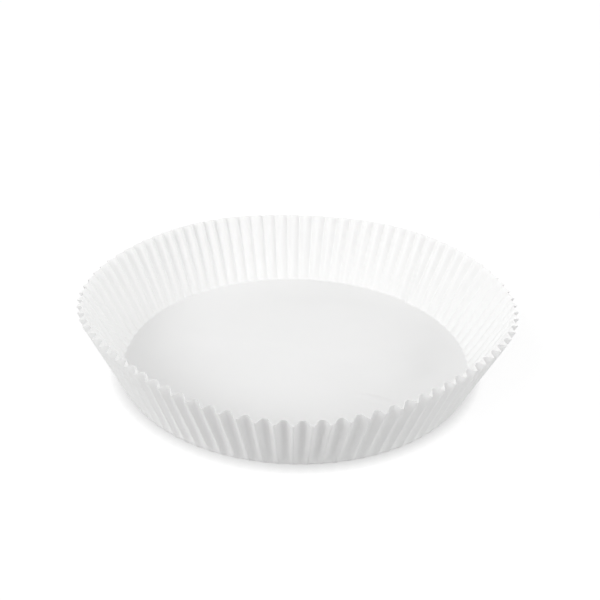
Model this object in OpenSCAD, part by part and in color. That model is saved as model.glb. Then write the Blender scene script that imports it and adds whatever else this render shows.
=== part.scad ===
// Round pleated paper liner for an air fryer basket.
// One disc of paper: a flat round base, a crease at its edge, and a wall that leans outward in pleats.
// Millimetres, +Z up. The origin is the centre of the base's underside, and -Y is the front.

/* [Base] */
// Diameter of the flat round base, measured at the crease
base_d = 200; // [120:1:280]
// Thickness of the paper
paper_t = 0.06; // [0.05:0.01:0.3]

/* [Wall] */
// Length of the wall up its slope, from the crease to the cut rim
wall_len = 45.5; // [20:0.5:70]
// Lean of the wall outward from upright, averaged round the rim, in degrees
lean = 26.5; // [15:0.5:40]
// Extra lean at the back, and as much less at the front, in degrees
back_lean = 4; // [-8:1:8]
// Extra lean at the right, and as much less at the left, in degrees
right_lean = 1; // [-8:1:8]
// Extra lean at both the front and the back, and as much less at the sides, in degrees
end_lean = 2; // [-6:1:6]
// Extra lean at the front, right, back and left, and as much less between them, in degrees
quarter_lean = 4; // [-6:1:6]

/* [Pleats] */
// Number of pleats round the wall
pleat_count = 90; // [24:1:100]
// Place of the foremost inward fold, in degrees round from the front to the right
first_fold = 2; // [0:0.5:15]
// How far each fold already stands in or out at the crease
pleat_start = 0.25; // [0:0.05:0.5]
// Half the width of each inward fold, as a share of one pleat
inward_fold = 0.15; // [0.04:0.01:0.2]
// Half the width of each outward fold, as a share of one pleat
outward_fold = 0.04; // [0.03:0.01:0.2]

/* [Hidden] */
paper_white = [0.96, 0.96, 0.955];
base_r = base_d / 2;
pleat_angle = 360 / pleat_count;
// Rings of points up the wall, as shares of its length: closer at the crease, where the pleats deepen fast.
ring_heights = [0, 0.22, 1];
// Points across one pleat, as shares of the pleat: an inward fold, then an outward fold.
pleat_places = [-inward_fold, inward_fold, 0.5 - outward_fold, 0.5 + outward_fold];
// Reach of each of those points: -1 is the inward fold, 1 the outward fold.
pleat_reaches = [-1, -1, 1, 1];
columns = pleat_count * len(pleat_places);

// Lean of the wall at angle a, which runs from the front (-Y) to the right (+X).
function wall_lean(a) = lean - back_lean * cos(a) + right_lean * sin(a)
    + end_lean * cos(2 * a) + quarter_lean * cos(4 * a);

// Angle of one column of points, and its reach.
function column_angle(i) = let (n = len(pleat_places))
    first_fold + pleat_angle * (floor(i / n) + pleat_places[i % n]);
function column_reach(i) = pleat_reaches[i % len(pleat_reaches)];

// Half the depth of the pleats, u up a wall that leans by t. The paper was cut as a flat disc,
// so a ring of it is longer than the wall's mean ring, and the pleats take up the spare length.
function half_depth(u, t) =
    let (ring_r = base_r + u * sin(t))
    let (half_pitch = PI * ring_r / pleat_count)
    let (fullness = (base_r + u) / ring_r)
    half_pitch * sqrt(max(0, fullness * fullness - 1)) / 2;

// Point at radius r, height z and angle a.
function round_point(r, z, a) = [r * sin(a), -r * cos(a), z];

// Radius of the crease at one column: it waves in and out where the pleats start.
function crease_r(i) = base_r + pleat_start * column_reach(i);

// Point of the outer face of the wall, or of the inner face when in_by is the paper's thickness.
function wall_point(i, u, in_by) =
    let (a = column_angle(i))
    let (t = wall_lean(a))
    let (out = half_depth(u, t) * column_reach(i) - in_by)
    round_point(crease_r(i) + u * sin(t) + out * cos(t), u * cos(t) - out * sin(t), a);

// Point of the inner face at the crease, where the base's upper face meets the wall.
function crease_point(i) =
    let (a = column_angle(i))
    let (t = wall_lean(a))
    round_point(crease_r(i) - paper_t * (1 - sin(t)) / cos(t), paper_t, a);

// Faces between a lower and an upper ring of points, two triangles from each column to the next. Where the
// paper runs between two folds, it is cut from the inward fold below to the outward fold above. It is twisted
// there, so both faces of the paper are cut alike, or the thin sheet would pass through itself.
function band(lower, upper) = [
    for (i = [0 : columns - 1])
        let (j = (i + 1) % columns)
        each (column_reach(i) < column_reach(j)
            ? [[lower + i, upper + i, upper + j], [lower + i, upper + j, lower + j]]
            : [[lower + i, upper + i, lower + j], [upper + i, upper + j, lower + j]])
];

// The same triangles, facing the other way.
function turned(triangles) = [
    for (t = triangles)
        [t[2], t[1], t[0]]
];

module liner() {
    rings = len(ring_heights);
    outer = [
        for (h = ring_heights, i = [0 : columns - 1])
            wall_point(i, h * wall_len, 0)
    ];
    inner_crease = [
        for (i = [0 : columns - 1])
            crease_point(i)
    ];
    inner_wall = [
        for (k = [1 : rings - 1], i = [0 : columns - 1])
            wall_point(i, ring_heights[k] * wall_len, paper_t)
    ];
    inner_start = rings * columns;
    underside = [
        for (i = [0 : columns - 1])
            i
    ];
    upper_face = [
        for (i = [columns - 1 : -1 : 0])
            inner_start + i
    ];
    outer_bands = [
        for (k = [0 : rings - 2])
            each band(k * columns, (k + 1) * columns)
    ];
    inner_bands = [
        for (k = [0 : rings - 2])
            each turned(band(inner_start + k * columns, inner_start + (k + 1) * columns))
    ];
    rim_band = band((rings - 1) * columns, inner_start + (rings - 1) * columns);
    // The wall's faces are listed before the base's: a test of a point in the thin base looks towards the
    // first face, and if that were in the base too, it would look edge-on through the whole sheet.
    color(paper_white)
        polyhedron(
            points = concat(outer, inner_crease, inner_wall),
            faces = concat(outer_bands, inner_bands, rim_band, [underside], [upper_face]),
            convexity = 10
        );
}

liner();
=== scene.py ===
"""A round pleated paper liner, standing on a plain pale floor.

Everything is in metres, in the part's own frame: +Z up, -Y to the front, and the origin at the centre
of the base's underside. Angles round the liner run from the front (-Y) to the right (+X).
"""
import math

import bpy
import numpy as np
from mathutils import Matrix, Vector


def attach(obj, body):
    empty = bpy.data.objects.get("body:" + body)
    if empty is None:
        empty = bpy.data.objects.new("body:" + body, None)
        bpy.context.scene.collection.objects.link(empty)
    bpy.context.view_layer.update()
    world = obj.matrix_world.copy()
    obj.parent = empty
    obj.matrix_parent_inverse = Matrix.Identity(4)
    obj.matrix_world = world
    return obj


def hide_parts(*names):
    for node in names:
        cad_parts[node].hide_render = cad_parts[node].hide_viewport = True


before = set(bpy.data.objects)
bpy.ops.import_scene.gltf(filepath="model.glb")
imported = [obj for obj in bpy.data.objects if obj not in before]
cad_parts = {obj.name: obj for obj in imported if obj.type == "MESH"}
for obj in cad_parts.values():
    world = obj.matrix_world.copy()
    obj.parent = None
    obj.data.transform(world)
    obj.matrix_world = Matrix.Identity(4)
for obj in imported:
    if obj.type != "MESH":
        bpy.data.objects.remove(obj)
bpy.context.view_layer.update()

MM = 0.001
TURN = 2 * math.pi

# The sheet of paper: the same sizes as the solid part.
BASE_RADIUS = 100 * MM
WALL_LENGTH = 45.5 * MM
PAPER_THICKNESS = 0.06 * MM
LEAN = math.radians(26.5)
BACK_LEAN = math.radians(4)
RIGHT_LEAN = math.radians(1)
END_LEAN = math.radians(2)
QUARTER_LEAN = math.radians(4)
PLEATS = 90
FIRST_FOLD = math.radians(2)
PLEAT_START = 0.25 * MM

# Half the width of each fold, and the softness of its two bends, as shares of one pleat: inward folds are
# broad and round, outward folds are narrow.
INWARD_FOLD = 0.15
INWARD_SOFTNESS = 0.1
OUTWARD_FOLD = 0.04
OUTWARD_SOFTNESS = 0.04
# Radius of the crease between the base and the wall.
CREASE_RADIUS = 0.8 * MM

# Chance unevenness of the wall. Each fold strays from its even place by a share of a pleat, and from its
# even depth by a share of that depth.
WALL_SEED = 7
FOLD_WANDER = 0.03
DEPTH_WANDER = 0.04
# Slow waves run round the wall. Some change the depth of the pleats, each by about this share of it, and
# some change the length of the wall, each by about this much.
DEPTH_WAVES = 9
DEPTH_DRIFT = 0.03
RIM_WAVES = 6
RIM_DRIFT = 0.12 * MM

# The base swells in long low waves from front to back, each no steeper than this slope. Their directions
# stray by chance, in radians, and their lengths lie between two limits, in millimetres.
SWELL_SEED = 3
SWELLS = 9
SWELL_SLOPE = 0.014
SWELL_STRAY = 0.3
SWELL_LENGTHS = (14, 60)
# Creases of the base: middle (x, y), direction, half the length, half the width, and height.
CREASES = (
    (62 * MM, -12 * MM, math.radians(55), 34 * MM, 18 * MM, 2 * MM),
    (43 * MM, -44 * MM, math.radians(-20), 14 * MM, 4 * MM, 0.8 * MM),
    (-24 * MM, -31 * MM, math.radians(-23), 20 * MM, 7 * MM, 0.3 * MM),
    (0 * MM, -4 * MM, math.radians(-26), 34 * MM, 9 * MM, 0.3 * MM),
)
# Power of the radius with which the swells and creases die out towards the edge of the base.
EDGE_POWER = 8
# A small kink in the crease round the base, at the right of the back: its angle, reach round and size.
KINK_ANGLE = math.radians(134)
KINK_REACH = math.radians(3)
KINK_TURN = math.radians(0.5)
KINK_SIZE = 1.3 * MM

# Fineness of the mesh: the columns of points from an inward fold to the outward one, closest at the bends.
HALF_PLEAT_COLUMNS = (0, 0.05, 0.1, 0.15, 0.2, 0.25, 0.335, 0.42, 0.46)
# The rings up the wall lie closer towards the crease, where the pleats deepen fast.
WALL_RINGS = 12
WALL_RING_POWER = 1.5
CREASE_RINGS = 3
BASE_RING_STEP = 2.2 * MM
# Rings of the base, counted in from the crease, from which only every third column goes on.
THINNED_RINGS = (1, 28, 40)
# Edges that turn by more than this are shaded sharp: only the cut rim's do.
SHARP_TURN = math.radians(60)
# The paper's two faces: the one outside and below, and the one inside and above.
OUTER_FACE = 1
INNER_FACE = -1

# The paper's two tones, which soft clouds and fine fibres mix. Of each: scale, detail and roughness.
PAPER_TONES = ((0.885, 0.885, 0.882, 1), (0.895, 0.895, 0.892, 1))
CLOUDS = (320.0, 4.0, 0.6)
FIBRES = (2600.0, 3.0, 0.7)
# The clouds' share in the tone and in the relief.
CLOUDS_IN_TONE = 0.7
CLOUDS_IN_RELIEF = 0.4
RELIEF_STRENGTH = 0.03
RELIEF_DEPTH = 0.04 * MM
PAPER_ROUGHNESS = 0.6
CLOUD_SMOOTHING = 0.03
PAPER_REFLECTION = 0.3

# Light levels, as shares of what makes white paper look white.
FILL_LEVEL = 0.61
# Soft lamps: name, the side the light comes from (degrees round from the front to the right), its height
# above the floor and its softness in degrees, and its level.
LAMPS = (
    ("front_left", 310, 38, 26, 0.24),
    ("front", 330, 38, 36, 0.10),
    ("front_right", 45, 30, 20, 0.135),
    ("right", 90, 30, 20, 0.06),
    ("right_low", 90, 8, 30, 0.16),
    ("left_low", 270, 8, 30, 0.13),
    ("back_low", 180, 20, 30, 0.09),
)
# Where the lamps hang. They are as good as endlessly far away, so their place changes nothing.
LAMP_PLACE = (0, 0, 1)
# Low glowing cards that light the outer wall from below its rim: name, side and level.
CARDS = (
    ("card_left", 305, 0.30),
    ("card_front", 0, 0.23),
    ("card_right", 55, 0.29),
    ("card_back_right", 125, 0.26),
    ("card_back", 180, 0.22),
    ("card_back_left", 235, 0.26),
)
CARD_DISTANCE = 330 * MM
CARD_RISE = 18 * MM
CARD_WIDTH = 160 * MM
CARD_HEIGHT = 30 * MM
RIM_RADIUS = 120 * MM

# The floor reaches out of the picture on all sides, and lies just clear of the paper.
FLOOR_HALF_WIDTH = 4.0
FLOOR_DROP = 0.02 * MM
# The floor's own tone, and what is added to it for the camera so that the unshaded floor is plain white.
FLOOR_TONE = 0.25
FLOOR_GLOW = 0.78
# The painted soft shade where the liner stands, which darkens the floor's glow for the camera: how far out
# it reaches, and its tone where the liner hides all else.
HALO_REACH = 7 * MM
PAINTED_HALO_TONE = 0.47
HALO_SAMPLES = 8

# The camera, as the photograph was taken: 28 degrees above the floor, near, and turned a little clockwise.
CAMERA_HEIGHT_ANGLE = math.radians(27.88)
CAMERA_DISTANCE = 486.2 * MM
CAMERA_ROLL = math.radians(1.405)
CAMERA_RIGHT = 1.53 * MM
CAMERA_UP = 32.3 * MM
SENSOR_WIDTH = 36
FRAME_WIDTH = 600
FOCAL_PIXELS = 827

chance = np.random.default_rng(WALL_SEED)


def slow_wave(angle, count, size):
    """Sum of the first few waves round the liner, each with a chance height and place."""
    total = np.zeros_like(angle)
    for order in range(1, count + 1):
        height = chance.normal() / math.sqrt(order)
        total += height * np.cos(order * angle + chance.uniform(0, TURN))
    return size * total


def wall_lean(angle):
    """Lean of the wall outward from upright."""
    return (
        LEAN
        - BACK_LEAN * np.cos(angle)
        + RIGHT_LEAN * np.sin(angle)
        + END_LEAN * np.cos(2 * angle)
        + QUARTER_LEAN * np.cos(4 * angle)
    )


def soft_ramp(place, bend, softness):
    """Zero before the bend and then a straight climb of 1, with a round curve between them."""
    curve = (place - bend + softness) ** 2 / (4 * softness)
    ramp = np.where(place < bend + softness, curve, place - bend)
    return np.where(place < bend - softness, 0, ramp)


def fold_reach(place):
    """Reach of the pleat at a place in it: -1 at the inward fold (place 0), 1 at the outward fold (0.5)."""
    from_inward = np.abs(place - np.round(place))
    outward_bend = 0.5 - OUTWARD_FOLD
    climb = soft_ramp(from_inward, INWARD_FOLD, INWARD_SOFTNESS)
    climb = climb - soft_ramp(from_inward, outward_bend, OUTWARD_SOFTNESS)
    return 2 * climb / (outward_bend - INWARD_FOLD) - 1


def half_depth(climb, lean):
    """Half the depth of the pleats, climb up the wall: they take up the spare length of the flat disc."""
    ring = BASE_RADIUS + climb * np.sin(lean)
    fullness = (BASE_RADIUS + climb) / ring
    return math.pi * ring / PLEATS * np.sqrt(np.maximum(fullness**2 - 1, 0)) / 2


def base_height(x, y):
    """Height of the base above the surface it lies on: long low swells and a few creases."""
    swell_chance = np.random.default_rng(SWELL_SEED)
    height = np.zeros_like(x)
    for _ in range(SWELLS):
        direction = swell_chance.normal(math.pi / 2, SWELL_STRAY)
        length = swell_chance.uniform(*SWELL_LENGTHS) * MM
        along = (x * math.cos(direction) + y * math.sin(direction)) / length
        wave = 1 + np.cos(TURN * along + swell_chance.uniform(0, TURN))
        height += SWELL_SLOPE * length / TURN * wave
    for middle_x, middle_y, direction, half_length, half_width, rise in CREASES:
        along = (x - middle_x) * math.cos(direction) + (y - middle_y) * math.sin(direction)
        across = (y - middle_y) * math.cos(direction) - (x - middle_x) * math.sin(direction)
        mound = np.clip(1 - (along / half_length) ** 2 - (across / half_width) ** 2, 0, None)
        height += rise * mound**2
    radius = np.sqrt(x**2 + y**2) / BASE_RADIUS
    return height * np.clip(1 - radius**EDGE_POWER, 0, 1)


def kink(angle):
    """How far the kink moves the crease in or out."""
    turn = np.mod(angle - KINK_ANGLE + math.pi, TURN) - math.pi
    return KINK_SIZE * np.tanh(turn / KINK_TURN) * np.exp(-np.abs(turn) / KINK_REACH)


def column_angles():
    """Angle and reach of each column of points, with folds a little out of their even places."""
    half = np.array(HALF_PLEAT_COLUMNS)
    pleat = np.concatenate([half, [0.5], 1 - half[:0:-1]])
    places = (np.arange(PLEATS)[:, None] + pleat).ravel()
    reach = fold_reach(places)
    fold = np.arange(2 * PLEATS + 1) / 2
    wander = chance.normal(size=2 * PLEATS) * FOLD_WANDER / 2
    wander = np.append(wander, wander[0])
    moved = places + np.interp(places, fold, wander)
    depth = 1 + DEPTH_WANDER * chance.normal(size=2 * PLEATS) / 2
    depth = np.append(depth, depth[0])
    return FIRST_FOLD + moved * TURN / PLEATS, reach * np.interp(places, fold, depth)


def wall_grid(angle, reach):
    """Middle of the paper over the crease and the wall, ring by ring from the base up."""
    lean = wall_lean(angle)
    turn = math.pi / 2 - lean
    tangent = CREASE_RADIUS * np.tan(turn / 2)
    depth_drift = 1 + slow_wave(angle, DEPTH_WAVES, DEPTH_DRIFT)
    rim_drift = slow_wave(angle, RIM_WAVES, RIM_DRIFT)
    edge = BASE_RADIUS + PLEAT_START * reach
    shift = kink(angle)
    rings = []
    for k in range(CREASE_RINGS + 1):
        bent = turn * k / CREASE_RINGS
        radius = edge + shift - tangent + CREASE_RADIUS * np.sin(bent)
        height = CREASE_RADIUS * (1 - np.cos(bent))
        rings.append((radius, height))
    for k in range(1, WALL_RINGS + 1):
        share = (k / WALL_RINGS) ** WALL_RING_POWER
        climb = tangent + (WALL_LENGTH + rim_drift - tangent) * share
        out = half_depth(climb - tangent, lean) * reach * depth_drift
        radius = edge + shift * (1 - share) + climb * np.sin(lean) + out * np.cos(lean)
        height = climb * np.cos(lean) - out * np.sin(lean)
        rings.append((radius, height))
    radius = np.array([r for r, _ in rings])
    height = np.array([h for _, h in rings])
    return np.stack([radius * np.sin(angle), -radius * np.cos(angle), height], axis=-1)


def base_rings(angle, edge_radius):
    """Rings of the flat base from the crease to the centre, with fewer columns further in."""
    rings = []
    step = 1
    count = round(BASE_RADIUS / BASE_RING_STEP)
    for k in range(1, count):
        if k in THINNED_RINGS:
            step *= 3
        ring_angle = angle[::step]
        radius = edge_radius[::step] * (1 - k / count)
        rings.append(np.stack([radius * np.sin(ring_angle), -radius * np.cos(ring_angle)], axis=-1))
    return rings


def grid_normals(grid):
    """Unit normal at each point of a grid that closes on itself round the liner, facing outward."""
    round_step = np.roll(grid, -1, axis=1) - np.roll(grid, 1, axis=1)
    up_step = np.gradient(grid, axis=0)
    normal = np.cross(round_step, up_step)
    return normal / np.linalg.norm(normal, axis=-1, keepdims=True)


def add_points(points, ring):
    """Add a ring of points to the list, and give their numbers in it."""
    first = len(points)
    points.extend(ring.tolist())
    return range(first, len(points))


def on_base(flat, side):
    """Points of one face of the base at flat places (x, y)."""
    height = base_height(flat[:, 0], flat[:, 1]) + PAPER_THICKNESS * (1 - side) / 2
    return np.column_stack([flat, height])


def ring_faces(outer, inner):
    """Faces between two rings of point numbers; the inner ring has as many points, or a third."""
    faces = []
    count = len(inner)
    ratio = len(outer) // count
    for i in range(count):
        j = (i + 1) % count
        if ratio == 1:
            faces.append((inner[i], outer[i], outer[j], inner[j]))
            continue
        first, second, third = outer[3 * i], outer[3 * i + 1], outer[3 * i + 2]
        last = outer[(3 * i + 3) % len(outer)]
        faces.append((inner[i], first, second))
        faces.append((inner[i], second, third, inner[j]))
        faces.append((inner[j], third, last))
    return faces


def side_faces(wall, flat, centre):
    """All faces of one side of the paper: over the wall, then over the base to its centre."""
    faces = []
    for lower, upper in zip(wall, wall[1:]):
        faces += ring_faces(upper, lower)
    for outer, inner in zip([wall[0]] + flat, flat):
        faces += ring_faces(outer, inner)
    last = flat[-1]
    faces += [(centre, last[i], last[(i + 1) % len(last)]) for i in range(len(last))]
    return faces


def turned(faces):
    """The same faces, facing the other way.

    Each keeps its first corner. So both sides of the paper have their twisted quads cut along the same
    diagonals, and the thin sheet doesn't pass through itself.
    """
    return [face[:1] + face[:0:-1] for face in faces]


def liner_mesh():
    """The whole sheet as one closed thin solid."""
    angle, reach = column_angles()
    grid = wall_grid(angle, reach)
    grid[..., 2] += PAPER_THICKNESS / 2
    edge_radius = np.hypot(grid[0, :, 0], grid[0, :, 1])
    base = base_rings(angle, edge_radius)
    normals = grid_normals(grid)
    # the lowest ring is the edge of the flat base
    normals[0] = (0, 0, -1)

    points = []
    sides = []
    for side in (OUTER_FACE, INNER_FACE):
        wall = [
            add_points(points, ring + side * normal * PAPER_THICKNESS / 2)
            for ring, normal in zip(grid, normals)
        ]
        flat = [add_points(points, on_base(ring, side)) for ring in base]
        centre = add_points(points, on_base(np.zeros((1, 2)), side))[0]
        sides.append((wall, flat, centre))

    outer_side, inner_side = sides
    outer_rim, inner_rim = outer_side[0][-1], inner_side[0][-1]
    faces = turned(side_faces(*outer_side)) + side_faces(*inner_side) + ring_faces(outer_rim, inner_rim)

    mesh = bpy.data.meshes.new("liner_sheet")
    mesh.from_pydata(points, [], faces)
    mesh.validate()
    mesh.shade_smooth()
    mesh.set_sharp_from_angle(angle=SHARP_TURN)
    return mesh


class Value:
    """A number or colour that a node gives out, so that shader sums are written as Python expressions."""

    def __init__(self, tree, socket):
        self.tree = tree
        self.socket = socket

    def _math(self, operation, first, second):
        return self.tree.node("ShaderNodeMath", {"operation": operation}, {0: first, 1: second})

    def __add__(self, other):
        return self._math("ADD", self, other)

    def __radd__(self, other):
        return self._math("ADD", other, self)

    def __sub__(self, other):
        return self._math("SUBTRACT", self, other)

    def __rsub__(self, other):
        return self._math("SUBTRACT", other, self)

    def __mul__(self, other):
        return self._math("MULTIPLY", self, other)

    def __rmul__(self, other):
        return self._math("MULTIPLY", other, self)


class Tree:
    """The nodes of one material or of the world."""

    def __init__(self, holder):
        holder.use_nodes = True
        self.nodes = holder.node_tree.nodes
        self.links = holder.node_tree.links
        self.nodes.clear()

    def node(self, kind, settings, inputs, output=0):
        """A new node with these settings and socket values or links, as the Value of one of its outputs."""
        made = self.nodes.new(kind)
        for name, setting in settings.items():
            setattr(made, name, setting)
        for name, given in inputs.items():
            socket = self.socket(made.inputs, name)
            if isinstance(given, Value):
                self.links.new(given.socket, socket)
            else:
                socket.default_value = given
        return Value(self, self.socket(made.outputs, output)) if made.outputs else None

    @staticmethod
    def socket(sockets, name):
        """The socket in use that has this name or number."""
        if isinstance(name, int):
            return sockets[name]
        return next(socket for socket in sockets if socket.enabled and socket.name == name)

    def noise(self, place, scale, detail, roughness):
        inputs = {"Vector": place, "Scale": scale, "Detail": detail, "Roughness": roughness}
        return self.node("ShaderNodeTexNoise", {}, inputs)

    def mix(self, factor, first, second):
        """The first colour where the factor is 0, and the second where it is 1."""
        inputs = {"Factor": factor, "A": first, "B": second}
        return self.node("ShaderNodeMix", {"data_type": "RGBA"}, inputs, output="Result")


def grey(tone):
    return (tone, tone, tone, 1)


def greaseproof_paper():
    """White greaseproof paper: smooth and matt, with a faint cloud of fibres."""
    material = bpy.data.materials.new("greaseproof_paper")
    tree = Tree(material)
    place = tree.node("ShaderNodeTexCoord", {}, {}, output="Object")
    cloud = tree.noise(place, *CLOUDS)
    fibre = tree.noise(place, *FIBRES)
    mottle = cloud * CLOUDS_IN_TONE + fibre * (1 - CLOUDS_IN_TONE)
    height = cloud * CLOUDS_IN_RELIEF + fibre * (1 - CLOUDS_IN_RELIEF)
    relief = tree.node(
        "ShaderNodeBump", {}, {"Strength": RELIEF_STRENGTH, "Distance": RELIEF_DEPTH, "Height": height}
    )
    surface = tree.node(
        "ShaderNodeBsdfPrincipled",
        {},
        {
            "Base Color": tree.mix(mottle, *PAPER_TONES),
            "Roughness": PAPER_ROUGHNESS - CLOUD_SMOOTHING * cloud,
            "Specular IOR Level": PAPER_REFLECTION,
            "Normal": relief,
        },
    )
    tree.node("ShaderNodeOutputMaterial", {}, {"Surface": surface})
    return material


def make_liner():
    liner = bpy.data.objects.new("liner_sheet", liner_mesh())
    bpy.context.collection.objects.link(liner)
    liner.data.materials.append(greaseproof_paper())
    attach(liner, "root")
    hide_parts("liner")


def make_floor():
    """A wide white floor. To the camera it is as white as the backdrop where nothing shades it, and a
    painted shade darkens its glow close to the liner.
    """
    mesh = bpy.data.meshes.new("floor")
    corners = [(-1, -1), (1, -1), (1, 1), (-1, 1)]
    points = [(x * FLOOR_HALF_WIDTH, y * FLOOR_HALF_WIDTH, -FLOOR_DROP) for x, y in corners]
    mesh.from_pydata(points, [], [(0, 1, 2, 3)])
    floor = bpy.data.objects.new("floor", mesh)
    bpy.context.collection.objects.link(floor)
    material = bpy.data.materials.new("floor_white")
    tree = Tree(material)
    camera_ray = tree.node("ShaderNodeLightPath", {}, {}, output="Is Camera Ray")
    matt = tree.node("ShaderNodeBsdfDiffuse", {}, {"Color": grey(FLOOR_TONE)})
    openness = tree.node(
        "ShaderNodeAmbientOcclusion", {"samples": HALO_SAMPLES}, {"Distance": HALO_REACH}, output="AO"
    )
    # painted shade: the floor's glow is darkened close to the liner, as far as the liner hides the floor
    # around it
    painted_shade = tree.mix(openness, grey(PAINTED_HALO_TONE), grey(1))
    glow = tree.node("ShaderNodeEmission", {}, {"Color": painted_shade, "Strength": FLOOR_GLOW})
    lifted = tree.node("ShaderNodeAddShader", {}, {0: matt, 1: glow})
    seen = tree.node("ShaderNodeMixShader", {}, {0: camera_ray, 1: matt, 2: lifted})
    tree.node("ShaderNodeOutputMaterial", {}, {"Surface": seen})
    floor.data.materials.append(material)


def make_world():
    """Even light from all sides, and a plain white backdrop for the camera."""
    world = bpy.data.worlds.new("studio")
    bpy.context.scene.world = world
    tree = Tree(world)
    camera_ray = tree.node("ShaderNodeLightPath", {}, {}, output="Is Camera Ray")
    fill = tree.node("ShaderNodeBackground", {}, {"Color": grey(1), "Strength": FILL_LEVEL})
    white = tree.node("ShaderNodeBackground", {}, {"Color": grey(1), "Strength": 1.0})
    seen = tree.node("ShaderNodeMixShader", {}, {0: camera_ray, 1: fill, 2: white})
    tree.node("ShaderNodeOutputWorld", {}, {"Surface": seen})


def direction_from(side, height):
    """Direction towards a side and height given in degrees."""
    side, height = math.radians(side), math.radians(height)
    flat = math.cos(height)
    return Vector((math.sin(side) * flat, -math.cos(side) * flat, math.sin(height)))


def hang(lamp, towards, place):
    """Put a lamp at a place with its back to a direction, and out of the camera's sight."""
    holder = bpy.data.objects.new(lamp.name, lamp)
    holder.location = place
    holder.rotation_euler = towards.to_track_quat("Z", "Y").to_euler()
    holder.visible_camera = False
    bpy.context.collection.objects.link(holder)


def make_lamp(name, side, height, softness, level):
    """A far soft lamp; level is what it adds to a surface facing it."""
    lamp = bpy.data.lights.new(name, "SUN")
    lamp.energy = level * math.pi
    lamp.angle = math.radians(softness)
    hang(lamp, direction_from(side, height), LAMP_PLACE)


def make_card(name, side, level):
    """A low card that glows towards the liner; level is what it adds to the outer wall facing it."""
    card = bpy.data.lights.new(name, "AREA")
    card.shape = "RECTANGLE"
    card.size = CARD_WIDTH
    card.size_y = CARD_HEIGHT
    card.energy = level * (math.pi * (CARD_DISTANCE - RIM_RADIUS)) ** 2
    towards = direction_from(side, 0)
    hang(card, towards, towards * CARD_DISTANCE + Vector((0, 0, CARD_RISE)))


def make_camera():
    data = bpy.data.cameras.new("camera")
    data.sensor_width = SENSOR_WIDTH
    data.lens = data.sensor_width * FOCAL_PIXELS / FRAME_WIDTH
    camera = bpy.data.objects.new("camera", data)
    forward = Vector((0, math.cos(CAMERA_HEIGHT_ANGLE), -math.sin(CAMERA_HEIGHT_ANGLE)))
    right = Vector((1, 0, 0))
    up = right.cross(forward)
    place = up * CAMERA_UP + right * CAMERA_RIGHT - forward * CAMERA_DISTANCE
    cosine, sine = math.cos(CAMERA_ROLL), math.sin(CAMERA_ROLL)
    rolled_right = right * cosine + up * sine
    rolled_up = up * cosine - right * sine
    facing = Matrix((rolled_right, rolled_up, -forward)).transposed().to_4x4()
    camera.matrix_world = Matrix.Translation(place) @ facing
    bpy.context.collection.objects.link(camera)
    bpy.context.scene.camera = camera


make_liner()
make_floor()
make_world()
for lamp in LAMPS:
    make_lamp(*lamp)
for card in CARDS:
    make_card(*card)
make_camera()
bpy.context.scene.view_settings.view_transform = "Standard"
